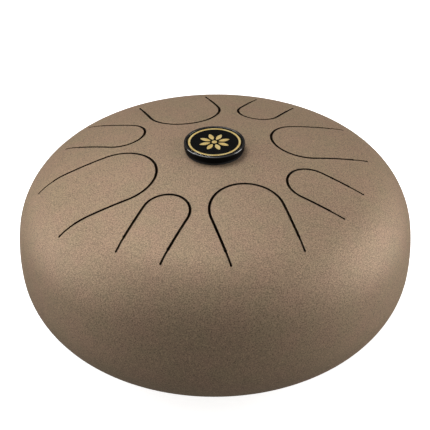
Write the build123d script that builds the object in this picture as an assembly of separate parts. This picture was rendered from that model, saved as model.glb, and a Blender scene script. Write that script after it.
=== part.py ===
"""A steel tongue drum: two pressed steel shells welded at the rim, eight tongues cut in the upper one.

Millimetres, +Z up, origin on the drum's axis at the level of the feet. The player sits on the -Y side.
Each tongue is one sheet with the upper shell on the real drum. Here it is a solid of its own, parted from
the shell by a hairline across its root, so that it can swing about its bend line.
"""

import math
import os

from build123d import *

# The shells. Both are pressed in one die, whose outline is three tangent arcs from the rim to the pole.
shell_diameter = 305.0
sheet = 1.8
side_radius = 142.0
side_angle = 6.7
shoulder_radius = 55.7
shoulder_angle = 71.8
ground_clearance = 4.0
weld_radius = 2.4

# The tongues, measured in plan. A slot's size and place are those of its centre line.
# Each leg's last stretch is a narrower cut. It starts at a pierced hole and stops at a smaller one at the root.
slot_width = 2.0
slot_end_width = 1.5
slot_end_length = 12.0
slot_pierced_hole = 2.4
slot_stop_hole = 1.9
root_gap = 0.1
tongue_places = 8
wide_tip_radius = 47.5
narrow_tip_radius = 62.5
# Number from the lowest note: (place on the circle, tip radius, width, root radius).
tongues = {
    1: (4, wide_tip_radius, 62.0, 131.0),
    2: (6, wide_tip_radius, 56.0, 119.5),
    3: (0, wide_tip_radius, 50.0, 115.5),
    4: (5, narrow_tip_radius, 36.0, 123.0),
    5: (2, wide_tip_radius, 56.0, 106.0),
    6: (3, narrow_tip_radius, 36.5, 120.5),
    7: (7, narrow_tip_radius, 36.5, 115.0),
    8: (1, narrow_tip_radius, 32.5, 109.0),
}

# The sound hole in the lower shell and the rubber channel on its edge.
sound_hole_diameter = 84.0
trim_wall = 2.0
trim_grip = 6.0
trim_edge_radius = 0.9

# The badge on the crown.
badge_diameter = 46.4
badge_base_diameter = 45.4
badge_height = 6.8
badge_rim_height = 2.6
badge_rim_radius = 0.6
badge_recess_diameter = 43.0
badge_recess_depth = 0.9
badge_pad_diameter = 44.0
badge_pad_thickness = 1.2
label_thickness = 0.4
foil_thickness = 0.12
foil_ring_outer_diameter = 40.0
foil_ring_width = 1.6
dome_rise = 0.6
emblem_petals = 8
petal_reach = 12.0
petal_hub = 3.4
petal_width = 3.6
emblem_hub_diameter = 4.0

# Screws: metric sizes, with the thread left plain.
m4_diameter = 4.0
m4_clearance_hole = 4.5
m4_head_diameter = 8.0
m4_head_height = 2.6
m4_drive_diameter = 2.6
m4_drive_depth = 1.4
m4_nut_flats = 7.0
m4_nut_height = 3.2
m4_washer_diameter = 9.0
m4_washer_thickness = 0.8
washer_bore = 4.3
screw_end_past_nut = 1.0
badge_washer_diameter = 18.0
badge_washer_thickness = 1.2
badge_thread_depth = 3.0

# The feet.
foot_count = 3
foot_first_angle = 90.0
foot_circle_radius = 72.0
foot_diameter = 26.0
foot_sole_diameter = 20.0
foot_counterbore = 10.5
foot_web = 3.6

# How far pieces that only just touch are kept apart.
fit_gap = 0.02

shell_radius = shell_diameter / 2


def polar(centre, radius, angle):
    """The point at that angle, in degrees, from the centre, in the XZ plane."""
    turn = math.radians(angle)
    return Vector(centre.X + radius * math.cos(turn), 0, centre.Z + radius * math.sin(turn))


side_centre = Vector(shell_radius - side_radius, 0, 0)
shoulder_centre = polar(side_centre, side_radius - shoulder_radius, side_angle)
crown_radius = shoulder_radius + shoulder_centre.X / math.cos(math.radians(shoulder_angle))
crown_centre = polar(shoulder_centre, shoulder_radius - crown_radius, shoulder_angle)
half_height = crown_centre.Z + crown_radius
rim_z = ground_clearance + half_height
upper_crown_centre_z = rim_z + crown_centre.Z
lower_crown_centre_z = rim_z - crown_centre.Z
badge_seat_z = rim_z + half_height
badge_base_z = badge_seat_z + badge_pad_thickness
badge_thread_top_z = badge_base_z + badge_thread_depth
badge_top_z = badge_seat_z + badge_height
badge_floor_z = badge_top_z - badge_recess_depth
label_z = badge_floor_z + label_thickness

# Where a foot stands on the crown: the shell's lean there, and its height over the ground.
foot_lean = math.degrees(math.asin(foot_circle_radius / crown_radius))
foot_shell_z = ground_clearance + crown_radius * (1 - math.cos(math.radians(foot_lean)))
foot_angles = [foot_first_angle + 360 * index / foot_count for index in range(foot_count)]


def die_arcs(inset):
    """The die's outline, inset into the sheet: three arcs from the rim to the pole, above a rim at Z = 0."""
    stretches = (
        (side_centre, side_radius, 0, side_angle),
        (shoulder_centre, shoulder_radius, side_angle, shoulder_angle),
        (crown_centre, crown_radius, shoulder_angle, 90),
    )
    return [
        ThreePointArc(
            polar(centre, radius - inset, start),
            polar(centre, radius - inset, (start + end) / 2),
            polar(centre, radius - inset, end),
        )
        for centre, radius, start, end in stretches
    ]


def pressing():
    """One pressed shell, whole, standing on its rim at Z = 0."""
    outer = die_arcs(0)
    inner = die_arcs(sheet)
    pole = Line(outer[-1] @ 1, inner[-1] @ 1)
    rim = Line(outer[0] @ 0, inner[0] @ 0)
    return revolve(make_face([*outer, pole, *inner, rim]), Axis.Z)


def disc(radius, low, high):
    """An upright cylinder on the axis between two levels."""
    return Pos(0, 0, low) * extrude(Circle(radius), high - low)


def ring(outer, inner, low, high):
    return disc(outer, low, high) - disc(inner, low, high)


def ball(radius, centre_z):
    return Pos(0, 0, centre_z) * Sphere(radius)


def tongue_outline(tip_radius, half_width, root_radius):
    """A tongue in plan, pointing along +X: a half-round tip and two parallel sides back to the root."""
    tip_centre = tip_radius + half_width
    sides = Pos((tip_centre + root_radius) / 2, 0) * Rectangle(root_radius - tip_centre, 2 * half_width)
    return Pos(tip_centre, 0) * Circle(half_width) + sides


def tongue_turn(place):
    """A place's angle on the circle. The -Y axis runs midway between two places."""
    return (place + 0.5) * 360 / tongue_places


def slot_outline(tip_radius, width, root_radius):
    """The cut round a tongue in plan, pointing along +X."""
    step = root_radius - slot_end_length
    cut = tongue_outline(tip_radius - slot_width / 2, (width + slot_width) / 2, step)
    cut -= tongue_outline(tip_radius + slot_width / 2, (width - slot_width) / 2, step)
    for leg in (-width / 2, width / 2):
        cut += Pos(step, leg) * Circle(slot_pierced_hole / 2)
        cut += Pos((step + root_radius) / 2, leg) * Rectangle(slot_end_length, slot_end_width)
        cut += Pos(root_radius, leg) * Circle(slot_stop_hole / 2)
    return cut


def upright(outline, place):
    """A plan outline made a prism through the upper shell, at a tongue's place on the circle."""
    return Pos(0, 0, rim_z) * Rot(0, 0, tongue_turn(place)) * extrude(outline, half_height + sheet)


def tongue_window(place, tip_radius, width, root_radius):
    """What is cut from the upper shell at one place: the tongue and the slot round it."""
    window = tongue_outline(tip_radius, width / 2, root_radius) + slot_outline(tip_radius, width, root_radius)
    return upright(window, place)


def tongue_prism(place, tip_radius, width, root_radius):
    """The tongue itself, inside the slot and short of its root by the hairline."""
    blank = tongue_outline(tip_radius, width / 2, root_radius - root_gap)
    return upright(blank - slot_outline(tip_radius, width, root_radius), place)


def foot_frame(angle):
    """A frame at one foot, on the lower shell's outside, with its Z axis along the shell's outward normal."""
    normal = Pos(0, 0, lower_crown_centre_z) * Rot(0, 0, angle) * Rot(0, 180 - foot_lean, 0)
    return normal * Pos(0, 0, crown_radius)


def stand_off(washer_diameter):
    """How far a flat washer's middle stands off the inside of the crown when its edge touches."""
    inside = crown_radius - sheet
    return inside - math.sqrt(inside**2 - (washer_diameter / 2) ** 2) + fit_gap


def upper_shell(whole):
    shell = whole
    for values in tongues.values():
        shell -= tongue_window(*values)
    return shell - disc(m4_clearance_hole / 2, rim_z, badge_seat_z + sheet)


def tongue(whole, values):
    return whole & tongue_prism(*values)


def lower_shell(whole):
    shell = whole - disc(sound_hole_diameter / 2, 0, rim_z)
    for angle in foot_angles:
        shell -= foot_frame(angle) * disc(m4_clearance_hole / 2, -2 * sheet, sheet)
    return shell


def seam_weld(upper, lower):
    """The bead in the corner where the shells meet, on the inside. The outside is ground flush."""
    section = Pos(shell_radius - sheet, 0, rim_z) * Rot(90, 0, 0) * Circle(weld_radius)
    inside = disc(shell_radius - sheet / 2, rim_z - weld_radius, rim_z + weld_radius)
    return (revolve(section, Axis.Z) & inside) - upper - lower


def sound_hole_trim(lower):
    """A U-section rubber channel pushed on to the sound hole's edge."""
    hole = sound_hole_diameter / 2
    outside = ball(crown_radius + trim_wall, lower_crown_centre_z)
    inside = ball(crown_radius - sheet - trim_wall, lower_crown_centre_z)
    band = ring(hole + trim_grip, hole - trim_wall, 0, rim_z / 2)
    channel = (band & outside) - inside
    channel = fillet(channel.edges().filter_by(GeomType.CIRCLE), trim_edge_radius)
    return channel - lower


def washer(diameter, thickness):
    """A flat washer standing on Z = 0."""
    return ring(diameter / 2, washer_bore / 2, 0, thickness)


def nut():
    """A hex nut standing on Z = 0, with its thread left plain."""
    body = extrude(RegularPolygon(m4_nut_flats / 2, 6, major_radius=False), m4_nut_height)
    return body - disc(m4_diameter / 2, 0, m4_nut_height)


def screw(length):
    """A pan-head screw along +Z: its head's underside at Z = 0 and its end at Z = length."""
    head = disc(m4_head_diameter / 2, -m4_head_height, 0)
    head = fillet(head.edges().sort_by(Axis.Z)[0], m4_head_height / 3)
    drive = Pos(0, 0, -m4_head_height) * extrude(RegularPolygon(m4_drive_diameter / 2, 6), m4_drive_depth)
    return head + disc(m4_diameter / 2, 0, length) - drive


def badge_body():
    """A moulded puck: a cone that widens to a rounded rim, with a recess on top and a blind hole below."""
    base = badge_base_diameter / 2
    top = badge_diameter / 2
    outline = Polyline(
        (0, 0, badge_base_z),
        (base, 0, badge_base_z),
        (top, 0, badge_top_z - badge_rim_height),
        (top, 0, badge_top_z),
        (0, 0, badge_top_z),
        close=True,
    )
    body = revolve(make_face(outline), Axis.Z)
    rim = body.edges().filter_by(GeomType.CIRCLE).sort_by(Axis.Z)[-1]
    body = fillet(rim, badge_rim_radius)
    body -= disc(badge_recess_diameter / 2, badge_floor_z, badge_top_z)
    return body - disc(m4_diameter / 2, badge_base_z, badge_thread_top_z)


def badge_label():
    return disc(badge_recess_diameter / 2, badge_floor_z, label_z)


def badge_ring():
    outer = foil_ring_outer_diameter / 2
    return ring(outer, outer - foil_ring_width, label_z, label_z + foil_thickness)


def badge_emblem():
    """A rosette of flat foils: a hub and a ring of pointed petals, none touching the next."""
    middle = (petal_hub + petal_reach) / 2
    petal = make_face(
        [
            ThreePointArc((petal_hub, 0), (middle, petal_width / 2), (petal_reach, 0)),
            ThreePointArc((petal_hub, 0), (middle, -petal_width / 2), (petal_reach, 0)),
        ]
    )
    turns = [360 * (index + 0.5) / emblem_petals for index in range(emblem_petals)]
    outlines = [Circle(emblem_hub_diameter / 2), *(Rot(0, 0, turn) * petal for turn in turns)]
    return [Pos(0, 0, label_z) * extrude(outline, foil_thickness) for outline in outlines]


def badge_dome(foils):
    """The clear resin lens: it fills the recess above the label and stands a little proud."""
    half = badge_recess_diameter / 2
    lens_radius = (half**2 + dome_rise**2) / (2 * dome_rise)
    lens = disc(half, label_z, badge_top_z + dome_rise)
    lens &= ball(lens_radius, badge_top_z + dome_rise - lens_radius)
    for foil in foils:
        lens -= foil
    return lens


def badge_pad():
    pad = disc(badge_pad_diameter / 2, rim_z, badge_base_z) - ball(crown_radius, upper_crown_centre_z)
    return pad - disc(m4_clearance_hole / 2, rim_z, badge_top_z)


def badge_fixings():
    """The washer whose edge touches the inside of the crown, and the screw that comes up through it."""
    seat = badge_seat_z - sheet - stand_off(badge_washer_diameter)
    low = seat - badge_washer_thickness
    grip = badge_thread_top_z - fit_gap - low
    plate = Pos(0, 0, low) * washer(badge_washer_diameter, badge_washer_thickness)
    return plate, Pos(0, 0, low) * screw(grip)


def foot(angle):
    """A rubber bumper, moulded to the shell above it and level below, so that it stands flat."""
    reach = foot_shell_z / math.cos(math.radians(foot_lean))
    taper = math.degrees(math.atan((foot_diameter - foot_sole_diameter) / 2 / reach))
    body = disc(foot_diameter / 2, -sheet, 0) + extrude(Circle(foot_diameter / 2), 1.5 * reach, taper=taper)
    body -= disc(foot_counterbore / 2, foot_web, 2 * reach)
    body -= disc(m4_clearance_hole / 2, -sheet, foot_web)
    below_ground = disc(shell_radius, -foot_diameter, 0)
    return (foot_frame(angle) * body) - ball(crown_radius, lower_crown_centre_z) - below_ground


def foot_fixings():
    """The washer in the foot, the washer and nut inside the drum, and the screw, in a foot's own frame."""
    inner_washer_z = -sheet - stand_off(m4_washer_diameter) - m4_washer_thickness
    nut_z = inner_washer_z - m4_nut_height
    head_z = foot_web + m4_washer_thickness
    return {
        "foot_washer": Pos(0, 0, foot_web) * washer(m4_washer_diameter, m4_washer_thickness),
        "foot_backing_washer": Pos(0, 0, inner_washer_z) * washer(m4_washer_diameter, m4_washer_thickness),
        "foot_nut": Pos(0, 0, nut_z) * nut(),
        "foot_screw": Pos(0, 0, head_z) * Rot(180, 0, 0) * screw(head_z - nut_z + screw_end_past_nut),
    }


def build():
    """Every node, by name."""
    upper_whole = Pos(0, 0, rim_z) * pressing()
    lower_whole = Pos(0, 0, rim_z) * Rot(180, 0, 0) * pressing()
    nodes = {"upper_shell": upper_shell(upper_whole), "lower_shell": lower_shell(lower_whole)}
    for number, values in tongues.items():
        nodes[f"tongue_{number}"] = tongue(upper_whole, values)
    nodes["seam_weld"] = seam_weld(upper_whole, lower_whole)
    nodes["sound_hole_trim"] = sound_hole_trim(nodes["lower_shell"])
    emblem = badge_emblem()
    nodes["badge_body"] = badge_body()
    nodes["badge_label"] = badge_label()
    nodes["badge_ring"] = badge_ring()
    nodes["badge_emblem"] = Compound(children=emblem)
    nodes["badge_dome"] = badge_dome([nodes["badge_ring"], *emblem])
    nodes["badge_pad"] = badge_pad()
    nodes["badge_washer"], nodes["badge_screw"] = badge_fixings()
    fixings = foot_fixings()
    for index, angle in enumerate(foot_angles, start=1):
        nodes[f"foot_{index}"] = foot(angle)
        for name, piece in fixings.items():
            nodes[f"{name}_{index}"] = foot_frame(angle) * piece
    return nodes


os.makedirs("parts", exist_ok=True)
for name, shape in build().items():
    export_step(shape, f"parts/{name}.step")
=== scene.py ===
"""The finish of a steel tongue drum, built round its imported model.

Both shells and the eight tongues start as flat blanks with their slots cut, and one node tree
presses them over the die that shapes the drum. The badge, the trim, the weld and the feet are
turned or lofted. The drum is made in metres, +Z up; sizes are given in millimetres.
"""

import math

import bmesh
import bpy
import numpy as np
from mathutils import Matrix, Vector
from mathutils.geometry import delaunay_2d_cdt


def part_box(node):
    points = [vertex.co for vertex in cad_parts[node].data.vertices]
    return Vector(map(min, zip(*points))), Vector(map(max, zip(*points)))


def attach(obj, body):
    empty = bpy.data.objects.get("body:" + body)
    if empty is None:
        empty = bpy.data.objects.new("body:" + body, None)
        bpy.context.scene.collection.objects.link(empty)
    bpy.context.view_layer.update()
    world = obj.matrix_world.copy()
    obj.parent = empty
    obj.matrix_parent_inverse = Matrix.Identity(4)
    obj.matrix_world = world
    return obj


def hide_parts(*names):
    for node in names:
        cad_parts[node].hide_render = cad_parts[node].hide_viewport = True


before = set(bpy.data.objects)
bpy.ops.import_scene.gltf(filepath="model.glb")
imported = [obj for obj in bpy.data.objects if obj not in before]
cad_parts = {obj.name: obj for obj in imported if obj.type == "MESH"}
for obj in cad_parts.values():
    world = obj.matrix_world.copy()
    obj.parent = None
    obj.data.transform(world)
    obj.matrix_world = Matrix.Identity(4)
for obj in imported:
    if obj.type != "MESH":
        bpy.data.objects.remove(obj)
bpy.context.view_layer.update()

MM = 0.001

# The die, in millimetres and degrees: three tangent arcs from the rim to the pole.
SHELL_RADIUS = 152.5
SIDE_RADIUS = 142.0
SIDE_ANGLE = 6.7
SHOULDER_RADIUS = 55.7
SHOULDER_ANGLE = 71.8
SHEET = 1.8
RIM_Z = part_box("upper_shell")[0][2] / MM

# The slots, in millimetres, in plan.
SLOT_WIDTH = 2.0
SLOT_END_WIDTH = 1.5
SLOT_END_LENGTH = 12.0
PIERCED_HOLE = 2.4
STOP_HOLE = 1.9
ROOT_HAIRLINE = 0.035
WIDE_TIP = 47.5
NARROW_TIP = 62.5
TONGUE_PLACES = 8
# Number from the lowest note: (place on the circle, tip radius, width, root radius).
TONGUES = {
    1: (4, WIDE_TIP, 62.0, 131.0),
    2: (6, WIDE_TIP, 56.0, 119.5),
    3: (0, WIDE_TIP, 50.0, 115.5),
    4: (5, NARROW_TIP, 36.0, 123.0),
    5: (2, WIDE_TIP, 56.0, 106.0),
    6: (3, NARROW_TIP, 36.5, 120.5),
    7: (7, NARROW_TIP, 36.5, 115.0),
    8: (1, NARROW_TIP, 32.5, 109.0),
}

# The badge, the trim and the feet, in millimetres.
BADGE_DIAMETER = 46.4
BADGE_BASE_DIAMETER = 45.4
BADGE_RIM_HEIGHT = 2.6
BADGE_RIM_RADIUS = 0.6
BADGE_RECESS_DIAMETER = 43.0
BADGE_RECESS_DEPTH = 0.9
BADGE_THREAD_DEPTH = 3.0
FOIL_THICKNESS = 0.12
FOIL_RING_DIAMETER = 40.0
FOIL_RING_WIDTH = 1.6
M4_DIAMETER = 4.0
M4_CLEARANCE_HOLE = 4.5
TRIM_WALL = 2.0
TRIM_GRIP = 6.0
TRIM_EDGE_RADIUS = 0.9
WELD_RADIUS = 2.4
WELD_RIPPLE = 0.35
WELD_PASSES = 300
WELD_SEGMENTS = 1800
WELD_STEPS = 10
FOOT_COUNT = 3
FOOT_FIRST_ANGLE = 90.0
FOOT_CIRCLE_RADIUS = 72.0
FOOT_DIAMETER = 26.0
FOOT_SOLE_DIAMETER = 20.0
FOOT_COUNTERBORE = 10.5
FOOT_WEB = 3.6
FOOT_ROUNDING = 1.6
FOOT_SEGMENTS = 96
ROUND_STEPS = 6

# How the coat rolls over a cut edge, and how fine the blanks are meshed.
EDGE_ROLL = 0.2
EDGE_LAND = 0.12
INNER_BREAK = 0.2
SLOTTED_RADIUS = 144.0
ROUND_SEGMENTS = 256
BADGE_HOLE_RADIUS = 2.25
SOUND_HOLE_RADIUS = 42.0

# ---------------------------------------------------------------- node helpers


class Tree:
    """Short calls for building a node tree."""

    def __init__(self, tree):
        self.tree = tree

    def add(self, kind, **settings):
        node = self.tree.nodes.new(kind)
        inputs = settings.pop("inputs", {})
        for name, value in settings.items():
            setattr(node, name, value)
        for name, value in inputs.items():
            self.feed(node.inputs[name], value)
        return node

    def feed(self, socket, value):
        if isinstance(value, bpy.types.NodeSocket):
            self.tree.links.new(value, socket)
        else:
            socket.default_value = value

    def math(self, operation, *values):
        node = self.tree.nodes.new("ShaderNodeMath")
        node.operation = operation
        for socket, value in zip(node.inputs, values):
            self.feed(socket, value)
        return node.outputs[0]


# ---------------------------------------------------------------- finishes


def new_finish(name):
    finish = bpy.data.materials.new(name)
    finish.use_nodes = True
    finish.node_tree.nodes.clear()
    tree = Tree(finish.node_tree)
    surface = tree.add("ShaderNodeBsdfPrincipled")
    out = tree.add("ShaderNodeOutputMaterial")
    tree.feed(out.inputs["Surface"], surface.outputs[0])
    place = tree.add("ShaderNodeTexCoord").outputs["Object"]
    return finish, tree, surface, place


def grain(tree, place, scale, detail=2.0, roughness=0.5, distortion=0.0):
    node = tree.add(
        "ShaderNodeTexNoise",
        inputs={
            "Vector": place,
            "Scale": scale,
            "Detail": detail,
            "Roughness": roughness,
            "Distortion": distortion,
        },
    )
    return node.outputs["Fac"]


def ramp(tree, factor, stops):
    node = tree.add("ShaderNodeValToRGB", inputs={"Fac": factor})
    ramp_stops = node.color_ramp.elements
    while len(ramp_stops) < len(stops):
        ramp_stops.new(0.5)
    for stop, (where, colour) in zip(ramp_stops, stops):
        stop.position = where
        stop.color = (*colour, 1.0)
    return node.outputs["Color"]


def blend_colours(tree, kind, factor, one, two):
    node = tree.add("ShaderNodeMix", data_type="RGBA", blend_type=kind)
    tree.feed(node.inputs[0], factor)
    tree.feed(node.inputs[6], one)
    tree.feed(node.inputs[7], two)
    return node.outputs[2]


def spread(tree, factor, low, high, start=0.0, end=1.0):
    node = tree.add(
        "ShaderNodeMapRange",
        inputs={"Value": factor, "From Min": start, "From Max": end, "To Min": low, "To Max": high},
    )
    return node.outputs["Result"]


def bump(tree, surface, height, strength, distance):
    node = tree.add("ShaderNodeBump", inputs={"Strength": strength, "Distance": distance, "Height": height})
    tree.feed(surface.inputs["Normal"], node.outputs["Normal"])


def powder_coat():
    """A bronze powder coat: fine sandy grain, metallic flecks, and slow drifts of tone."""
    finish, tree, surface, place = new_finish("bronze_powder_coat")
    fleck = grain(tree, place, 2700, 2.0, 0.6)
    coarse = tree.math("MULTIPLY", grain(tree, place, 1200, 3.0, 0.65), 0.62)
    sand = tree.math("ADD", coarse, tree.math("MULTIPLY", fleck, 0.38))
    drift = grain(tree, place, 45, 3.0, 0.6)
    cloud = grain(tree, place, 9, 2.0, 0.5)
    tone = ramp(tree, drift, ((0.35, (0.340, 0.232, 0.156)), (0.65, (0.318, 0.235, 0.150))))
    grit = ((0.37, (0.46, 0.46, 0.47)), (0.5, (1.0, 1.0, 1.0)), (0.63, (1.58, 1.55, 1.5)))
    sandy = ramp(tree, sand, grit)
    colour = blend_colours(tree, "MULTIPLY", 1.0, tone, sandy)
    slow = ramp(tree, cloud, ((0.3, (0.94, 0.94, 0.94)), (0.7, (1.05, 1.05, 1.05))))
    colour = blend_colours(tree, "MULTIPLY", 1.0, colour, slow)
    tree.feed(surface.inputs["Base Color"], colour)
    surface.inputs["Metallic"].default_value = 0.45
    tree.feed(surface.inputs["Roughness"], spread(tree, fleck, 0.54, 0.7, 0.3, 0.7))
    bump(tree, surface, tree.math("ADD", sand, fleck), 0.35, 0.00012)
    return finish


def cut_edge():
    """The wall of a slot: charred and barely reached by the coat; its near-black colour is also painted
    shade for the dark inside of the slot.
    """
    finish, tree, surface, place = new_finish("scorched_cut_edge")
    scale = grain(tree, place, 1400, 3.0)
    # The near-black colour is partly charred steel and partly painted shade for the dark inside of the slot.
    charred_painted_shade_colour = ramp(tree, scale, ((0.3, (0.006, 0.005, 0.004)), (0.75, (0.03, 0.024, 0.02))))
    tree.feed(surface.inputs["Base Color"], charred_painted_shade_colour)
    surface.inputs["Roughness"].default_value = 0.9
    surface.inputs["Specular IOR Level"].default_value = 0.1
    bump(tree, surface, scale, 0.3, 0.0001)
    return finish


def moulded(name, dark, light, rough, scale=900, strength=0.2, specular=0.5):
    """Rubber, plastic or foam: one colour with a moulded grain."""
    finish, tree, surface, place = new_finish(name)
    skin = grain(tree, place, scale, 3.0, 0.6)
    wear = grain(tree, place, 60, 3.0)
    colour = blend_colours(tree, "MIX", wear, (*dark, 1.0), (*light, 1.0))
    tree.feed(surface.inputs["Base Color"], colour)
    tree.feed(surface.inputs["Roughness"], spread(tree, skin, rough - 0.06, rough + 0.06, 0.3, 0.7))
    surface.inputs["Specular IOR Level"].default_value = specular
    bump(tree, surface, skin, strength, 0.0001)
    return finish


def gloss_black():
    """The badge's rim: black gloss with a trace of orange peel and fine handling marks."""
    finish, tree, surface, place = new_finish("badge_gloss_black")
    peel = grain(tree, place, 260, 2.0)
    marks = grain(tree, place, 1500, 2.0)
    black = ramp(tree, peel, ((0.3, (0.004, 0.004, 0.004)), (0.7, (0.010, 0.009, 0.009))))
    tree.feed(surface.inputs["Base Color"], black)
    tree.feed(surface.inputs["Roughness"], spread(tree, marks, 0.10, 0.2, 0.35, 0.7))
    surface.inputs["Specular IOR Level"].default_value = 0.9
    surface.inputs["Coat Weight"].default_value = 0.8
    bump(tree, surface, peel, 0.05, 0.00015)
    return finish


def gold_foil():
    """Hot-stamped foil: bright gold with a slight press grain."""
    finish, tree, surface, place = new_finish("gold_foil")
    press = grain(tree, place, 1200, 3.0, 0.6)
    drift = grain(tree, place, 150, 2.0)
    gold = ramp(tree, drift, ((0.3, (0.92, 0.64, 0.20)), (0.7, (1.0, 0.80, 0.36))))
    tree.feed(surface.inputs["Base Color"], gold)
    surface.inputs["Metallic"].default_value = 0.6
    tree.feed(surface.inputs["Roughness"], spread(tree, press, 0.3, 0.45, 0.3, 0.7))
    bump(tree, surface, press, 0.15, 0.00005)
    return finish


def clear_resin():
    """Cast resin: a thin mirror that lets nearly everything through, with faint ripples in its gloss."""
    finish, tree, surface, place = new_finish("clear_resin")
    ripple = grain(tree, place, 70, 1.0)
    tint = ramp(tree, ripple, ((0.3, (0.97, 0.97, 0.96)), (0.7, (1.0, 1.0, 1.0))))
    tree.feed(surface.inputs["Base Color"], tint)
    tree.feed(surface.inputs["Roughness"], spread(tree, ripple, 0.03, 0.07, 0.3, 0.7))
    surface.inputs["Metallic"].default_value = 1.0
    surface.inputs["Alpha"].default_value = 0.02
    bump(tree, surface, ripple, 0.05, 0.0004)
    return finish


def steel(name, dark, light, rough, scale=700):
    """Bare or plated steel with fine scratches."""
    finish, tree, surface, place = new_finish(name)
    plate = grain(tree, place, scale, 4.0, 0.65, 0.6)
    patina = grain(tree, place, 90, 3.0)
    tree.feed(surface.inputs["Base Color"], ramp(tree, patina, ((0.3, dark), (0.7, light))))
    surface.inputs["Metallic"].default_value = 1.0
    tree.feed(surface.inputs["Roughness"], spread(tree, plate, rough - 0.08, rough + 0.1, 0.3, 0.7))
    bump(tree, surface, plate, 0.2, 0.00006)
    return finish


coat = powder_coat()
# The slot walls' finish: charred steel, coloured near-black as painted shade.
charred_edge_painted_shade = cut_edge()
rubber = moulded("foot_rubber", (0.018, 0.018, 0.019), (0.032, 0.031, 0.030), 0.72, 700, 0.25, 0.35)
trim_rubber = moulded("trim_rubber", (0.012, 0.012, 0.013), (0.022, 0.022, 0.022), 0.5, 500, 0.12, 0.45)
badge_side = moulded(
    "badge_matte_black", (0.001, 0.001, 0.001), (0.003, 0.003, 0.003), 0.6, 1300, 0.3, 0.05
)
label_film = moulded("label_film", (0.001, 0.001, 0.001), (0.003, 0.003, 0.003), 0.5, 1100, 0.08, 0.03)
foam = moulded("foam_pad", (0.015, 0.015, 0.015), (0.03, 0.03, 0.03), 0.92, 1600, 0.7, 0.2)
gloss = gloss_black()
foil = gold_foil()
resin = clear_resin()
zinc = steel("zinc_plated_steel", (0.50, 0.51, 0.53), (0.66, 0.66, 0.65), 0.32)
weld_steel = steel("weld_steel", (0.20, 0.18, 0.17), (0.34, 0.31, 0.29), 0.5, 500)

# ---------------------------------------------------------------- the die


class Die:
    """The outline that both shells are pressed over: where a point of the flat blank ends up."""

    def __init__(self):
        side, shoulder = math.radians(SIDE_ANGLE), math.radians(SHOULDER_ANGLE)
        self.side_x = SHELL_RADIUS - SIDE_RADIUS
        self.shoulder_x = self.side_x + (SIDE_RADIUS - SHOULDER_RADIUS) * math.cos(side)
        self.shoulder_z = (SIDE_RADIUS - SHOULDER_RADIUS) * math.sin(side)
        self.crown_radius = SHOULDER_RADIUS + self.shoulder_x / math.cos(shoulder)
        self.crown_z = self.shoulder_z - (self.crown_radius - SHOULDER_RADIUS) * math.sin(shoulder)
        self.crown_turn = math.pi / 2 - shoulder
        self.shoulder_turn = shoulder - side
        self.crown_reach = self.crown_radius * self.crown_turn
        self.shoulder_reach = self.crown_reach + SHOULDER_RADIUS * self.shoulder_turn
        self.rim_reach = self.shoulder_reach + SIDE_RADIUS * side

    def reach(self, radius, inset):
        """The reach from the pole to a point at a radius in plan and inset in the sheet."""
        crown = self.crown_radius - inset
        if radius <= crown * math.sin(self.crown_turn):
            return self.crown_radius * math.asin(radius / crown)
        turn = math.asin((radius - self.shoulder_x) / (SHOULDER_RADIUS - inset))
        return self.crown_reach + SHOULDER_RADIUS * (turn - self.crown_turn)

    def height(self, radius, inset=0.0):
        """The height over the rim at a radius in plan."""
        turn = self.reach(radius, inset)
        if turn <= self.crown_reach:
            return self.crown_z + (self.crown_radius - inset) * math.cos(turn / self.crown_radius)
        turn = self.crown_turn + (turn - self.crown_reach) / SHOULDER_RADIUS
        return self.shoulder_z + (SHOULDER_RADIUS - inset) * math.cos(turn)


die = Die()


def named_value(tree, kind, name):
    node = tree.add("GeometryNodeInputNamedAttribute", data_type=kind, inputs={"Name": name})
    return node.outputs[0]


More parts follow.
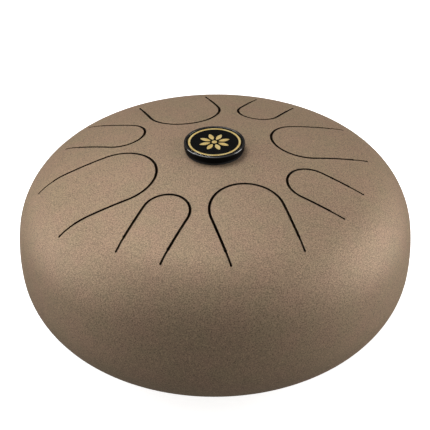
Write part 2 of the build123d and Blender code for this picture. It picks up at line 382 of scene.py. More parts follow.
def pressing_tree():
    """Presses a flat blank over the die. The blank's distance from the axis is the reach along the
    die's outside, its "inset" says how deep in the sheet a point is, and its "cut" faces are the walls
    of the slots."""
    group = bpy.data.node_groups.new("press_over_die", "GeometryNodeTree")
    tree = Tree(group)
    ports = group.interface
    ports.new_socket("Blank", in_out="INPUT", socket_type="NodeSocketGeometry")
    sizes = {
        "Shell Radius": SHELL_RADIUS * MM,
        "Side Radius": SIDE_RADIUS * MM,
        "Side Angle": math.radians(SIDE_ANGLE),
        "Shoulder Radius": SHOULDER_RADIUS * MM,
        "Shoulder Angle": math.radians(SHOULDER_ANGLE),
        "Rim Height": RIM_Z * MM,
        "Turned Over": 1.0,
    }
    for name, value in sizes.items():
        ports.new_socket(name, in_out="INPUT", socket_type="NodeSocketFloat").default_value = value
    ports.new_socket("Coat", in_out="INPUT", socket_type="NodeSocketMaterial")
    ports.new_socket("Cut Edge", in_out="INPUT", socket_type="NodeSocketMaterial")
    ports.new_socket("Pressing", in_out="OUTPUT", socket_type="NodeSocketGeometry")
    given = tree.add("NodeGroupInput").outputs
    out = tree.add("NodeGroupOutput")
    op = tree.math
    shell, side, side_angle = given["Shell Radius"], given["Side Radius"], given["Side Angle"]
    shoulder, shoulder_angle = given["Shoulder Radius"], given["Shoulder Angle"]
    side_x = op("SUBTRACT", shell, side)
    step = op("SUBTRACT", side, shoulder)
    shoulder_x = op("MULTIPLY_ADD", step, op("COSINE", side_angle), side_x)
    shoulder_z = op("MULTIPLY", step, op("SINE", side_angle))
    crown = op("ADD", shoulder, op("DIVIDE", shoulder_x, op("COSINE", shoulder_angle)))
    crown_drop = op("MULTIPLY", op("SUBTRACT", crown, shoulder), op("SINE", shoulder_angle))
    crown_z = op("SUBTRACT", shoulder_z, crown_drop)
    crown_reach = op("MULTIPLY", crown, op("SUBTRACT", math.pi / 2, shoulder_angle))
    shoulder_length = op("MULTIPLY", shoulder, op("SUBTRACT", shoulder_angle, side_angle))
    shoulder_reach = op("ADD", crown_reach, shoulder_length)
    # Where the point is on the blank.
    spot = tree.add("GeometryNodeInputPosition").outputs[0]
    flat = tree.add("ShaderNodeSeparateXYZ", inputs={"Vector": spot}).outputs
    reach = op("SQRT", op("ADD", op("MULTIPLY", flat[0], flat[0]), op("MULTIPLY", flat[1], flat[1])))
    inset = named_value(tree, "FLOAT", "inset")
    past_crown = op("GREATER_THAN", reach, crown_reach)
    past_shoulder = op("GREATER_THAN", reach, shoulder_reach)
    # How far the outline has turned from the pole by there.
    on_crown = op("DIVIDE", op("MINIMUM", reach, crown_reach), crown)
    on_shoulder = op("MINIMUM", op("MAXIMUM", op("SUBTRACT", reach, crown_reach), 0.0), shoulder_length)
    on_side = op("MAXIMUM", op("SUBTRACT", reach, shoulder_reach), 0.0)
    turn = op("ADD", on_crown, op("ADD", op("DIVIDE", on_shoulder, shoulder), op("DIVIDE", on_side, side)))
    # The arc it is on.
    radius = op("MULTIPLY_ADD", past_crown, op("SUBTRACT", shoulder, crown), crown)
    radius = op("MULTIPLY_ADD", past_shoulder, step, radius)
    centre_x = op("MULTIPLY", past_crown, shoulder_x)
    centre_x = op("MULTIPLY_ADD", past_shoulder, op("SUBTRACT", side_x, shoulder_x), centre_x)
    centre_z = op("MULTIPLY_ADD", past_crown, op("SUBTRACT", shoulder_z, crown_z), crown_z)
    centre_z = op("MULTIPLY_ADD", past_shoulder, op("MULTIPLY", shoulder_z, -1.0), centre_z)
    radius = op("SUBTRACT", radius, inset)
    out_from_axis = op("MULTIPLY_ADD", radius, op("SINE", turn), centre_x)
    up = op("MULTIPLY_ADD", radius, op("COSINE", turn), centre_z)
    share = op("DIVIDE", out_from_axis, op("MAXIMUM", reach, 1e-9))
    over = given["Turned Over"]
    pressed = tree.add(
        "ShaderNodeCombineXYZ",
        inputs={
            "X": op("MULTIPLY", flat[0], share),
            "Y": op("MULTIPLY", op("MULTIPLY", flat[1], share), over),
            "Z": op("MULTIPLY_ADD", up, over, given["Rim Height"]),
        },
    )
    moved = tree.add(
        "GeometryNodeSetPosition",
        inputs={"Geometry": given["Blank"], "Position": pressed.outputs[0]},
    )
    coated = tree.add(
        "GeometryNodeSetMaterial",
        inputs={"Geometry": moved.outputs[0], "Material": given["Coat"]},
    )
    # The slot walls take the cut-edge finish, whose near-black colour is painted shade.
    cut = named_value(tree, "BOOLEAN", "cut")
    walls = tree.add(
        "GeometryNodeSetMaterial",
        inputs={"Geometry": coated.outputs[0], "Selection": cut, "Material": given["Cut Edge"]},
    )
    made = tree.add("GeometryNodeRealizeInstances", inputs={"Geometry": walls.outputs[0]})
    tree.feed(out.inputs[0], made.outputs[0])
    return group


press = pressing_tree()


def made_by(tree, name, blank, **values):
    """Runs a node tree on a blank and returns the result as a plain mesh object."""
    source = bpy.data.objects.new(name + "_blank", blank)
    bpy.context.scene.collection.objects.link(source)
    modifier = source.modifiers.new(tree.name, "NODES")
    modifier.node_group = tree
    for item in tree.interface.items_tree:
        key = item.name.replace(" ", "_").lower()
        if item.in_out == "INPUT" and key in values:
            modifier[item.identifier] = values[key]
    graph = bpy.context.evaluated_depsgraph_get()
    mesh = bpy.data.meshes.new_from_object(source.evaluated_get(graph), depsgraph=graph)
    source.modifiers.remove(modifier)
    bpy.data.objects.remove(source)
    mesh.name = name
    piece = bpy.data.objects.new(name, mesh)
    bpy.context.scene.collection.objects.link(piece)
    return piece


# ---------------------------------------------------------------- blanks


def along(start, end, pitch):
    """Points from start towards end, without the end."""
    count = max(1, round(math.dist(start, end) / pitch))
    run, rise = end[0] - start[0], end[1] - start[1]
    return [(start[0] + run * i / count, start[1] + rise * i / count) for i in range(count)]


def round_arc(centre, radius, start, end, pitch):
    """Points on an arc between two angles in radians, without the end."""
    count = max(2, round(abs(end - start) * radius / pitch))
    turns = [start + (end - start) * i / count for i in range(count)]
    return [(centre[0] + radius * math.cos(turn), centre[1] + radius * math.sin(turn)) for turn in turns]


def cut_outline(tip, width, root, side):
    """One edge of a slot in plan, pointing along +X, anticlockwise: side 1 is the shell's, -1 the tongue's.
    Returns the points and, for each, whether it lies on the root."""
    half = width / 2
    tip_centre = tip + half
    step = root - SLOT_END_LENGTH
    edge, end_edge = side * SLOT_WIDTH / 2, side * SLOT_END_WIDTH / 2
    pierced, stop = PIERCED_HOLE / 2, STOP_HOLE / 2
    into = math.asin(edge / pierced)
    out_of = math.asin(end_edge / pierced)
    into_stop = math.asin(end_edge / stop)
    pierced_run = math.sqrt(pierced**2 - end_edge**2)
    pierced_start = step - math.sqrt(pierced**2 - edge**2)
    stop_start = root - math.sqrt(stop**2 - end_edge**2)
    last = -math.pi / 2
    if side < 0:
        last -= math.asin(ROOT_HAIRLINE / stop)
    corner = (root + stop * math.cos(last), half + stop * math.sin(last))
    leg = along((tip_centre, half + edge), (pierced_start, half + edge), 1.5)
    leg += round_arc((step, half), pierced, side * math.pi - into, out_of, 0.3)
    leg += along((step + pierced_run, half + end_edge), (stop_start, half + end_edge), 1.2)
    turn_start = side * math.pi - into_stop
    leg += round_arc((root, half), stop, turn_start, last, 0.28)
    crossing = along(corner, (corner[0], -corner[1]), 1.5)
    mirrored = [(u, -v) for u, v in reversed(leg)]
    tip_arc = round_arc((tip_centre, 0), half + edge, -math.pi / 2, -3 * math.pi / 2, 1.5)[1:]
    points = leg + crossing + [(corner[0], -corner[1])] + mirrored + tip_arc
    at_root = [False] * len(leg) + [True] * (len(crossing) + 1) + [False] * (len(mirrored) + len(tip_arc))
    # The order so far is clockwise.
    return points[::-1], at_root[::-1]


def normals_out(points):
    """The outward direction at each point of an anticlockwise outline, lengthened at corners."""
    result = []
    for index, here in enumerate(points):
        back = points[index - 1]
        ahead = points[(index + 1) % len(points)]
        one = Vector((here[1] - back[1], back[0] - here[0])).normalized()
        two = Vector((ahead[1] - here[1], here[0] - ahead[0])).normalized()
        middle = (one + two).normalized()
        result.append(middle / max(middle.dot(one), 0.5))
    return result


def inside(outline, spots):
    """Which of the spots lie inside a closed outline."""
    result = np.zeros(len(spots), bool)
    x, y = spots[:, 0], spots[:, 1]
    for (ax, ay), (bx, by) in zip(outline, [*outline[1:], outline[0]]):
        crosses = (ay > y) != (by > y)
        if crosses.any():
            where = ax + (y - ay) * (bx - ax) / ((by - ay) or 1e-12)
            result ^= crosses & (x < where)
    return result


class Spots:
    """Points kept apart by a least distance."""

    def __init__(self):
        self.cells = {}
        self.points = []

    def add(self, point, apart):
        size = 3.0
        cx, cy = int(point[0] // size), int(point[1] // size)
        for i in (-1, 0, 1):
            for j in (-1, 0, 1):
                for other in self.cells.get((cx + i, cy + j), ()):
                    if math.dist(point, other) < apart:
                        return
        self.cells.setdefault((cx, cy), []).append(point)
        self.points.append(point)


class Blank:
    """A flat blank under construction. Points are in plan; pressing finds their reach from the inset."""

    def __init__(self):
        self.places = []
        self.insets = []
        self.faces = []
        self.cut = []
        self.sharp = set()

    def point(self, x, y, inset, reach=None):
        radius = math.hypot(x, y)
        if reach is None:
            reach = die.reach(radius, inset)
        share = reach / radius if radius else 0.0
        self.places.append((x * share * MM, y * share * MM, 0.0))
        self.insets.append(inset * MM)
        return len(self.places) - 1

    def face(self, corners, cut=False):
        kept = [c for i, c in enumerate(corners) if c != corners[i - 1]]
        if len(kept) > 2:
            self.faces.append(kept)
            self.cut.append(cut)

    def strip(self, one, two, cut=False, closed=True):
        """Faces between two rows of points."""
        count = len(one) if closed else len(one) - 1
        for i in range(count):
            j = (i + 1) % len(one)
            self.face([one[i], one[j], two[j], two[i]], cut)

    def crease(self, row, closed=True):
        for i in range(len(row) if closed else len(row) - 1):
            self.sharp.add(frozenset((row[i], row[(i + 1) % len(row)])))

    def mesh(self, name):
        mesh = bpy.data.meshes.new(name)
        mesh.from_pydata(self.places, [], self.faces)
        mesh.attributes.new("inset", "FLOAT", "POINT").data.foreach_set("value", self.insets)
        mesh.attributes.new("cut", "BOOLEAN", "FACE").data.foreach_set("value", self.cut)
        sharp = [frozenset(edge.vertices) in self.sharp for edge in mesh.edges]
        mesh.attributes.new("sharp_edge", "BOOLEAN", "EDGE").data.foreach_set("value", sharp)
        mesh.polygons.foreach_set("use_smooth", [True] * len(mesh.polygons))
        return mesh


def turned_to(points, angle):
    c, s = math.cos(angle), math.sin(angle)
    return [(x * c - y * s, x * s + y * c) for x, y in points]


def tongue_angle(place):
    return math.radians((place + 0.5) * 360 / TONGUE_PLACES)


class Edge:
    """One cut edge of a sheet: rows of points that roll over it, from top face to inner face."""

    ROWS = (
        (EDGE_ROLL + EDGE_LAND, 0.0),
        (EDGE_ROLL, 0.0),
        (EDGE_ROLL * 0.5, EDGE_ROLL * 0.134),
        (EDGE_ROLL * 0.134, EDGE_ROLL * 0.5),
        (0.0, EDGE_ROLL),
        (0.0, SHEET - INNER_BREAK),
        (INNER_BREAK, SHEET),
        (EDGE_ROLL + EDGE_LAND, SHEET),
    )
    WALL = 4

    def __init__(self, points, at_root, away, angle):
        self.at_root = at_root
        outward = normals_out(points)
        self.rows = []
        for offset, inset in self.ROWS:
            row = [
                point if root else (point[0] + away * offset * out.x, point[1] + away * offset * out.y)
                for point, root, out in zip(points, at_root, outward)
            ]
            self.rows.append((turned_to(row, angle), inset))
        self.top = self.rows[0][0]
        # Guide points, so that the faces beside the edge are small.
        self.guides = []
        for offset, apart in ((1.2, 0.8), (2.6, 1.5)):
            row = [
                (point[0] + away * offset * out.x, point[1] + away * offset * out.y)
                for point, root, out in zip(points, at_root, outward)
                if not root
            ]
            self.guides.append((turned_to(row, angle), apart))
        roots = [point for point, root in zip(points, at_root) if root]
        for offset, apart in ((0.25, 0.5), (0.8, 0.7), (1.8, 1.1), (3.2, 1.6)):
            row = [(u + away * offset, v * 0.985) for u, v in roots]
            self.guides.append((turned_to(row, angle), apart))

    def build(self, blank, top_row, inner_row):
        """Adds the rows between the top face's boundary and the inner face's."""
        rows = [top_row]
        for index, (points, inset) in enumerate(self.rows[1:-1], start=1):
            flush = top_row if index <= self.WALL else inner_row
            rows.append(
                [
                    flush[i] if root else blank.point(*point, inset)
                    for i, (point, root) in enumerate(zip(points, self.at_root))
                ]
            )
        rows.append(inner_row)
        for index in range(len(rows) - 1):
            blank.strip(rows[index], rows[index + 1], cut=index == self.WALL)
        for row in (top_row, inner_row):
            for i, root in enumerate(self.at_root):
                j = (i + 1) % len(row)
                if root and self.at_root[j]:
                    blank.sharp.add(frozenset((row[i], row[j])))


def flat_faces(blank, boundary, holes, edges, grid_pitch):
    """Triangles of the top face and, under them, of the inner face, between an outer boundary and its holes.
    Returns the two rows of indices for each closed loop given, outer boundary first."""
    loops = [boundary, *holes]
    spots = Spots()
    for loop in loops:
        for point in loop:
            spots.add(point, 0.0)
    fixed = len(spots.points)
    for edge in edges:
        for guide, apart in edge.guides:
            for point in guide:
                spots.add(point, apart)
    low = [min(p[k] for p in boundary) for k in (0, 1)]
    high = [max(p[k] for p in boundary) for k in (0, 1)]
    row_pitch = grid_pitch * math.sqrt(3) / 2
    for j in range(int((high[1] - low[1]) / row_pitch) + 2):
        for i in range(int((high[0] - low[0]) / grid_pitch) + 2):
            x = low[0] + (i + 0.5 * (j % 2)) * grid_pitch
            spots.add((x, low[1] + j * row_pitch), grid_pitch * 0.62)
    free = np.array(spots.points[fixed:])
    keep = inside(boundary, free)
    for hole in holes:
        keep &= ~inside(hole, free)
    points = spots.points[:fixed] + [tuple(p) for p in free[keep]]
    ties = []
    start = 0
    for loop in loops:
        count = len(loop)
        ties += [(start + i, start + (i + 1) % count) for i in range(count)]
        start += count
    found = delaunay_2d_cdt([Vector(p) for p in points], ties, [], 0, 1e-7)
    places, triangles, origin = found[0], found[2], found[3]
    middles = np.array([[sum(places[i][k] for i in tri) / 3 for k in (0, 1)] for tri in triangles])
    wanted = inside(boundary, middles)
    for hole in holes:
        wanted &= ~inside(hole, middles)
    top = [blank.point(p[0], p[1], 0.0) for p in places]
    inner = [blank.point(p[0], p[1], SHEET) for p in places]
    for triangle, want in zip(triangles, wanted):
        if want:
            blank.face([top[i] for i in triangle])
            blank.face([inner[i] for i in reversed(triangle)])
    new_index = {old: new for new, olds in enumerate(origin) for old in olds}
    rows = []
    start = 0
    for loop in loops:
        order = [new_index[start + i] for i in range(len(loop))]
        rows.append(([top[i] for i in order], [inner[i] for i in order]))
        start += len(loop)
    return rows


def circle(radius, segments=ROUND_SEGMENTS):
    return [
        (radius * math.cos(math.tau * i / segments), radius * math.sin(math.tau * i / segments))
        for i in range(segments)
    ]


def rings(blank, first, inset, start, end, pitch):
    """Rings of points from a first row out to the rim. Returns the last row."""
    count = max(1, round((end - start) / pitch))
    row = first
    for step in range(1, count + 1):
        reach = start + (end - start) * step / count
        ahead = [blank.point(x, y, inset, reach) for x, y in circle(1.0, len(first))]
        blank.strip(row, ahead)
        row = ahead
    return row


def drop_loose(mesh):
    """Takes out points that no face uses, and makes every face point outwards."""
    work = bmesh.new()
    work.from_mesh(mesh)
    bmesh.ops.delete(work, geom=[v for v in work.verts if not v.link_faces], context="VERTS")
    bmesh.ops.recalc_face_normals(work, faces=work.faces)
    work.to_mesh(mesh)
    work.free()


def finish_piece(piece, body, node):
    drop_loose(piece.data)
    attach(piece, body)
    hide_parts(node)


def make_upper_shell():
    blank = Blank()
    edges = []
    for place, tip, width, root in TONGUES.values():
        points, at_root = cut_outline(tip, width, root, 1)
        edges.append(Edge(points, at_root, 1, tongue_angle(place)))
    border = circle(SLOTTED_RADIUS)
    badge_hole = circle(BADGE_HOLE_RADIUS, 24)
    rows = flat_faces(blank, border, [*(edge.top for edge in edges), badge_hole], edges, 3.6)
    for edge, (top_row, inner_row) in zip(edges, rows[1:-1]):
        edge.build(blank, top_row, inner_row)
    blank.strip(*rows[-1])
    blank.crease(rows[-1][0])
    outer = rings(blank, rows[0][0], 0.0, die.reach(SLOTTED_RADIUS, 0.0), die.rim_reach, 2.0)
    inner = rings(blank, rows[0][1], SHEET, die.reach(SLOTTED_RADIUS, SHEET), die.rim_reach, 3.0)
    blank.strip(outer, inner)
    blank.crease(outer)
    piece = made_by(press, "upper_shell_pressing", blank.mesh("upper_blank"), coat=coat, cut_edge=charred_edge_painted_shade)
    finish_piece(piece, "drum", "upper_shell")


def make_lower_shell():
    blank = Blank()
    around = circle(SOUND_HOLE_RADIUS)
    top = [blank.point(x, y, 0.0) for x, y in around]
    inner = [blank.point(x, y, SHEET) for x, y in around]
    outer_rim = rings(blank, top, 0.0, die.reach(SOUND_HOLE_RADIUS, 0.0), die.rim_reach, 2.5)
    inner_rim = rings(blank, inner, SHEET, die.reach(SOUND_HOLE_RADIUS, SHEET), die.rim_reach, 3.0)
    blank.strip(top, inner)
    blank.strip(outer_rim, inner_rim)
    for row in (top, inner, outer_rim):
        blank.crease(row)
    values = {"coat": coat, "cut_edge": charred_edge_painted_shade, "turned_over": -1.0}
    piece = made_by(press, "lower_shell_pressing", blank.mesh("lower_blank"), **values)
    finish_piece(piece, "drum", "lower_shell")


def make_tongue(number, place, tip, width, root):
    blank = Blank()
    points, at_root = cut_outline(tip, width, root, -1)
    edge = Edge(points, at_root, -1, tongue_angle(place))
    rows = flat_faces(blank, edge.top, [], [edge], 3.2)
    edge.build(blank, *rows[0])
    name = f"tongue_{number}"
    piece = made_by(press, name + "_pressing", blank.mesh(name + "_blank"), coat=coat, cut_edge=charred_edge_painted_shade)
    finish_piece(piece, name, name)


make_upper_shell()
make_lower_shell()
for number, values in TONGUES.items():
    make_tongue(number, *values)

# ---------------------------------------------------------------- turned and moulded pieces

CROWN_RADIUS = die.crown_radius
LOWER_CROWN_Z = RIM_Z - die.crown_z
LEVEL_CLEARANCE = 0.02


def rounded(corners):
    """A closed outline with its corners rounded. Each corner is (radius, height, rounding)."""
    points = []
    for index, (radius, height, size) in enumerate(corners):
        here = Vector((radius, height))
        if not size:
            points.append(here)
            continue
        back = (Vector(corners[index - 1][:2]) - here).normalized()
        ahead = (Vector(corners[(index + 1) % len(corners)][:2]) - here).normalized()
        half_turn = back.angle(ahead) / 2
        run = size / math.tan(half_turn)
        middle = here + (back + ahead).normalized() * size / math.sin(half_turn)
        start = (here + back * run - middle).normalized()
        end = (here + ahead * run - middle).normalized()
        points += [middle + start.slerp(end, step / ROUND_STEPS) * size for step in range(ROUND_STEPS + 1)]
    return points


def on_ball(radius, centre, start, end, below=False, steps=12):
    """Corners along a spherical face between two distances from the axis, without the end."""
    side = -1 if below else 1
    radii = [start + (end - start) * step / steps for step in range(steps)]
    return [(r, centre + side * math.sqrt(radius**2 - r**2), 0) for r in radii]


def new_piece(name, places, faces, finishes, crease=35):
    mesh = bpy.data.meshes.new(name)
    mesh.from_pydata([tuple(c * MM for c in place) for place in places], [], faces)
    mesh.polygons.foreach_set("use_smooth", [True] * len(mesh.polygons))
    mesh.set_sharp_from_angle(angle=math.radians(crease))
    for finish in finishes:
        mesh.materials.append(finish)
    piece = bpy.data.objects.new(name, mesh)
    bpy.context.scene.collection.objects.link(piece)
    return piece


def lofted(rows, closed=True):
    """Faces between rows of points. A row of one point is a pole."""
    places = [place for row in rows for place in row]
    starts = np.cumsum([0, *(len(row) for row in rows)]).tolist()
    count = max(len(row) for row in rows)
    index = [[starts[k] + (i if len(row) > 1 else 0) for i in range(count)] for k, row in enumerate(rows)]
    faces = []
    for one, two in zip(index, index[1:] + (index[:1] if closed else [])):
        for i in range(count):
            j = (i + 1) % count
            corners = list(dict.fromkeys((one[i], one[j], two[j], two[i])))
            if len(corners) > 2:
                faces.append(corners)
    return places, faces


def turned(name, outline, *finishes, segments=160):
    """A closed outline of (radius, height) turned about the drum's axis."""
    rows = []
    for radius, height in outline:
        around = circle(radius, segments) if radius else [(0.0, 0.0)]
        rows.append([(x, y, height) for x, y in around])
    return new_piece(name, *lofted(rows), finishes)


def make_badge():
    (_, _, base), (_, _, top) = [[c / MM for c in corner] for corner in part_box("badge_body")]
    label_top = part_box("badge_label")[1][2] / MM
    lens_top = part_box("badge_dome")[1][2] / MM
    floor_z = top - BADGE_RECESS_DEPTH
    recess = BADGE_RECESS_DIAMETER / 2
    thread = M4_DIAMETER / 2
    body = rounded(
        (
            (0, base + BADGE_THREAD_DEPTH, 0),
            (thread, base + BADGE_THREAD_DEPTH, 0),
            (thread, base, 0.3),
            (BADGE_BASE_DIAMETER / 2, base, 0.4),
            (BADGE_DIAMETER / 2, top - BADGE_RIM_HEIGHT, 1.5),
            (BADGE_DIAMETER / 2, top, BADGE_RIM_RADIUS),
            (recess, top, 0.3),
            (recess, floor_z, 0),
            (0, floor_z, 0),
        )
    )
    puck = turned("badge_puck", body, gloss, badge_side)
    rim_low = (top - BADGE_RIM_RADIUS) * MM
    matte = [face.center.z < rim_low for face in puck.data.polygons]
    puck.data.polygons.foreach_set("material_index", matte)
    finish_piece(puck, "drum", "badge_body")

    outer = FOIL_RING_DIAMETER / 2
    inner = outer - FOIL_RING_WIDTH
    foil_top = label_top + FOIL_THICKNESS
    ring = ((inner, label_top), (outer, label_top), (outer, foil_top), (inner, foil_top))
    finish_piece(turned("badge_foil_ring", ring, foil), "drum", "badge_ring")

    low = foil_top + LEVEL_CLEARANCE
    edge = recess - LEVEL_CLEARANCE
    rise = lens_top - top
    ball = (edge**2 + rise**2) / (2 * rise)
    crown = on_ball(ball, lens_top - ball, edge - 0.3, 0)
    lens = rounded(((0, low, 0), (edge, low, 0), (edge, top - 0.2, 0.15), *crown, (0, lens_top, 0)))
    finish_piece(turned("badge_lens", lens, resin), "drum", "badge_dome")


def make_trim():
    """The rubber channel: its two lips lie along the shell's faces and a bulb closes it round the edge."""
    hole = SOUND_HOLE_RADIUS
    tip, nose = hole + TRIM_GRIP, hole - TRIM_WALL
    outside, inside_face = CROWN_RADIUS + TRIM_WALL, CROWN_RADIUS - SHEET - TRIM_WALL

    def level(ball, radius):
        return LOWER_CROWN_Z - math.sqrt(ball**2 - radius**2)

    section = [
        (nose, level(outside, nose), TRIM_EDGE_RADIUS),
        (tip, level(outside, tip), TRIM_EDGE_RADIUS),
        (tip, level(CROWN_RADIUS, tip), 0),
        (hole, level(CROWN_RADIUS, hole), 0),
        (hole, level(CROWN_RADIUS - SHEET, hole), 0),
        (tip, level(CROWN_RADIUS - SHEET, tip), 0),
        (tip, level(inside_face, tip), TRIM_EDGE_RADIUS),
        (nose, level(inside_face, nose), TRIM_EDGE_RADIUS),
    ]
    trim = turned("sound_hole_channel", rounded(section), trim_rubber, segments=192)
    finish_piece(trim, "drum", "sound_hole_trim")


def make_weld():
    """The bead inside the rim, with the ripples of its passes."""
    wall = SHELL_RADIUS - SHEET
    turns = [math.tau * i / WELD_SEGMENTS for i in range(WELD_SEGMENTS)]
    rows = []
    for step in range(WELD_STEPS + 1):
        tilt = math.pi * (0.5 + step / WELD_STEPS)
        row = []
        for turn in turns:
            pass_phase = WELD_PASSES * turn + 0.9 * math.sin(tilt) ** 2
            size = WELD_RADIUS - WELD_RIPPLE * (0.5 + 0.5 * math.sin(pass_phase)) * abs(math.cos(tilt))
            radius = wall + size * math.cos(tilt)
            row.append((radius * math.cos(turn), radius * math.sin(turn), RIM_Z + size * math.sin(tilt)))
        rows.append(row)
    bead = new_piece("rim_weld_bead", *lofted(rows), (weld_steel,), crease=60)
    finish_piece(bead, "drum", "seam_weld")


def make_foot(number):
    """A rubber bumper: moulded to the shell above, level below, with its lower edge rounded."""
    angle = math.radians(FOOT_FIRST_ANGLE + (number - 1) * 360 / FOOT_COUNT)
    lean = math.asin(FOOT_CIRCLE_RADIUS / CROWN_RADIUS)
    down = Vector((math.sin(lean), 0, -math.cos(lean)))
    across = Vector((0, 1, 0))
    along_shell = across.cross(down)
    centre = Vector((0, 0, LOWER_CROWN_Z))
    reach = (centre + down * CROWN_RADIUS).z / math.cos(lean)

    def on_shell(spoke, radius):
        return centre + spoke * radius + down * math.sqrt(CROWN_RADIUS**2 - radius**2)

    def at_depth(spoke, radius, depth):
        return centre + down * (CROWN_RADIUS + depth) + spoke * radius

    def on_ground(spoke, radius):
        point = at_depth(spoke, radius, reach)
        return point + down * (point.z / math.cos(lean))

    rows = [[] for _ in range(18)]
    for step in range(FOOT_SEGMENTS):
        turn = math.tau * step / FOOT_SEGMENTS
        spoke = across * math.cos(turn) + along_shell * math.sin(turn)
        hole, bore = M4_CLEARANCE_HOLE / 2, FOOT_COUNTERBORE / 2
        top = on_shell(spoke, FOOT_DIAMETER / 2)
        corner = on_ground(spoke, FOOT_SOLE_DIAMETER / 2)
        inner = on_ground(spoke, bore)
        wall_end = corner + (top - corner).normalized() * FOOT_ROUNDING
        sole_start = corner + (inner - corner).normalized() * FOOT_ROUNDING
        lip = inner + (corner - inner).normalized() * 0.5
        column = [on_shell(spoke, hole), on_shell(spoke, FOOT_DIAMETER / 2 - 0.6)]
        column += [top + (corner - top).normalized() * 0.5]
        for part in range(9):
            t = part / 8
            column.append(wall_end * (1 - t) ** 2 + corner * 2 * t * (1 - t) + sole_start * t**2)
        column += [lip, inner.lerp(at_depth(spoke, bore, FOOT_WEB), 0.15)]
        column += [at_depth(spoke, bore, FOOT_WEB + 0.3), at_depth(spoke, bore - 0.3, FOOT_WEB)]
        column += [at_depth(spoke, hole, FOOT_WEB), at_depth(spoke, hole, 0.5)]
        for row, point in zip(rows, column):
            row.append(Matrix.Rotation(angle, 3, "Z") @ point)
    node = f"foot_{number}"
    foot = new_piece(f"rubber_foot_{number}", *lofted(rows), (rubber,), crease=40)
    finish_piece(foot, "drum", node)


make_badge()
make_trim()
make_weld()
for number in range(1, FOOT_COUNT + 1):
    make_foot(number)

# ---------------------------------------------------------------- the other nodes


def refinish(node, finish):
    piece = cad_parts[node]
    piece.data.materials.clear()
    piece.data.materials.append(finish)


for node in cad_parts:
    if node.startswith("foot_") and node.count("_") > 1:
        refinish(node, zinc)
for node, finish in {
    "badge_label": label_film,
    "badge_emblem": foil,
    "badge_pad": foam,
    "badge_screw": zinc,
    "badge_washer": zinc,
}.items():
    refinish(node, finish)

# ---------------------------------------------------------------- studio

VIEW_AZIMUTH = 4.12
VIEW_ELEVATION = 33.52
VIEW_DISTANCE = 1.396
VIEW_LENS = 150.24
VIEW_ROLL = -0.45
# The room's brightness from straight down to straight up, and how it differs from front to back.
ROOM_FRONT = 1.52
ROOM_BACK = 0.25
ROOM = (
    (0.0, (0.23, 0.23, 0.23)),
    (0.5, (0.20, 0.20, 0.20)),
    (0.75, (0.28, 0.28, 0.28)),
    (1.0, (0.50, 0.50, 0.50)),
)
TARGET_OVER_RIM = 0.02113
TARGET = Vector((0, 0, RIM_Z * MM + TARGET_OVER_RIM))
FLOOR_HALF_WIDTH = 6.0
FLOOR_DROP = 0.0002
FLOOR_GLOW = 0.8
# The distances from the axis between which the glow sets in.
GLOW_FADE = (0.045, 0.065)


def look_at(thing, target):
    thing.rotation_euler = (target - thing.location).to_track_quat("-Z", "Y").to_euler()


def camera():
    lens = bpy.data.cameras.new("camera")
    lens.lens = VIEW_LENS
    lens.sensor_width = 36.0
    lens.clip_start = 0.01
    lens.clip_end = 50.0
    view = bpy.data.objects.new("camera", lens)
    azimuth, elevation = math.radians(VIEW_AZIMUTH - 90), math.radians(VIEW_ELEVATION)
    level = math.cos(elevation)
    away = Vector((math.cos(azimuth) * level, math.sin(azimuth) * level, math.sin(elevation)))
    view.location = TARGET + away * VIEW_DISTANCE
    look_at(view, TARGET)
    view.rotation_euler.rotate_axis("Z", math.radians(VIEW_ROLL))
    bpy.context.scene.collection.objects.link(view)
    bpy.context.scene.camera = view


def softbox(name, place, size, power):
    light = bpy.data.lights.new(name, "AREA")
    light.shape = "RECTANGLE"
    light.size, light.size_y = size
    light.energy = power
    box = bpy.data.objects.new(name, light)
    box.location = place
    look_at(box, TARGET)
    bpy.context.scene.collection.objects.link(box)


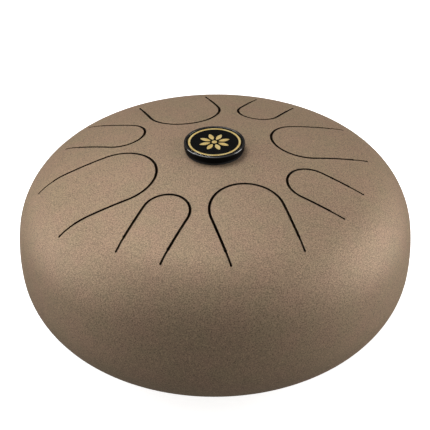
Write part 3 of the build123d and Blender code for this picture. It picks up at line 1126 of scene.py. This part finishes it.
def floor():
    size = FLOOR_HALF_WIDTH
    mesh = bpy.data.meshes.new("floor")
    corners = ((-size, -size), (size, -size), (size, size), (-size, size))
    mesh.from_pydata([(x, y, -FLOOR_DROP) for x, y in corners], [], [(0, 1, 2, 3)])
    paper, tree, surface, place = new_finish("pale_paper")
    fibre = grain(tree, place, 30, 3.0)
    pale = ramp(tree, fibre, ((0.3, (0.86, 0.86, 0.86)), (0.7, (0.88, 0.88, 0.88))))
    tree.feed(surface.inputs["Base Color"], pale)
    surface.inputs["Roughness"].default_value = 0.9
    surface.inputs["Emission Color"].default_value = (1.0, 1.0, 1.0, 1.0)
    # Its glow fades under the drum, so that no light shows through the slots.
    reach = tree.add("ShaderNodeVectorMath", operation="LENGTH", inputs={"Vector": place})
    glow = spread(tree, reach.outputs["Value"], 0.0, FLOOR_GLOW, *GLOW_FADE)
    tree.feed(surface.inputs["Emission Strength"], glow)
    # It shows only from above, so that the drum can be seen from below.
    underneath = tree.add("ShaderNodeNewGeometry").outputs["Backfacing"]
    tree.feed(surface.inputs["Alpha"], tree.math("SUBTRACT", 1.0, underneath))
    mesh.materials.append(paper)
    sheet = bpy.data.objects.new("floor", mesh)
    sheet.visible_diffuse = False
    sheet.visible_glossy = False
    sheet.visible_shadow = False
    bpy.context.scene.collection.objects.link(sheet)


def studio_light():
    world = bpy.data.worlds.new("studio")
    world.use_nodes = True
    tree = Tree(world.node_tree)
    towards = tree.add("ShaderNodeTexCoord").outputs["Generated"]
    way = tree.add("ShaderNodeSeparateXYZ", inputs={"Vector": towards}).outputs
    room = ramp(tree, spread(tree, way["Z"], 0.0, 1.0, -1.0, 1.0), ROOM)
    backdrop = world.node_tree.nodes["Background"]
    tree.feed(backdrop.inputs["Color"], room)
    tree.feed(backdrop.inputs["Strength"], spread(tree, way["Y"], ROOM_FRONT, ROOM_BACK, -1.0, 1.0))
    bpy.context.scene.world = world
    softbox("overhead", (-0.4, 0.30, 1.35), (0.9, 0.7), 10.0)
    softbox("left", (-1.25, 0.02, 0.45), (0.8, 1.1), 9.8)
    softbox("right", (1.3, 0.20, 0.36), (0.8, 1.1), 14.2)
    bpy.context.scene.view_settings.view_transform = "Standard"


camera()
floor()
studio_light()
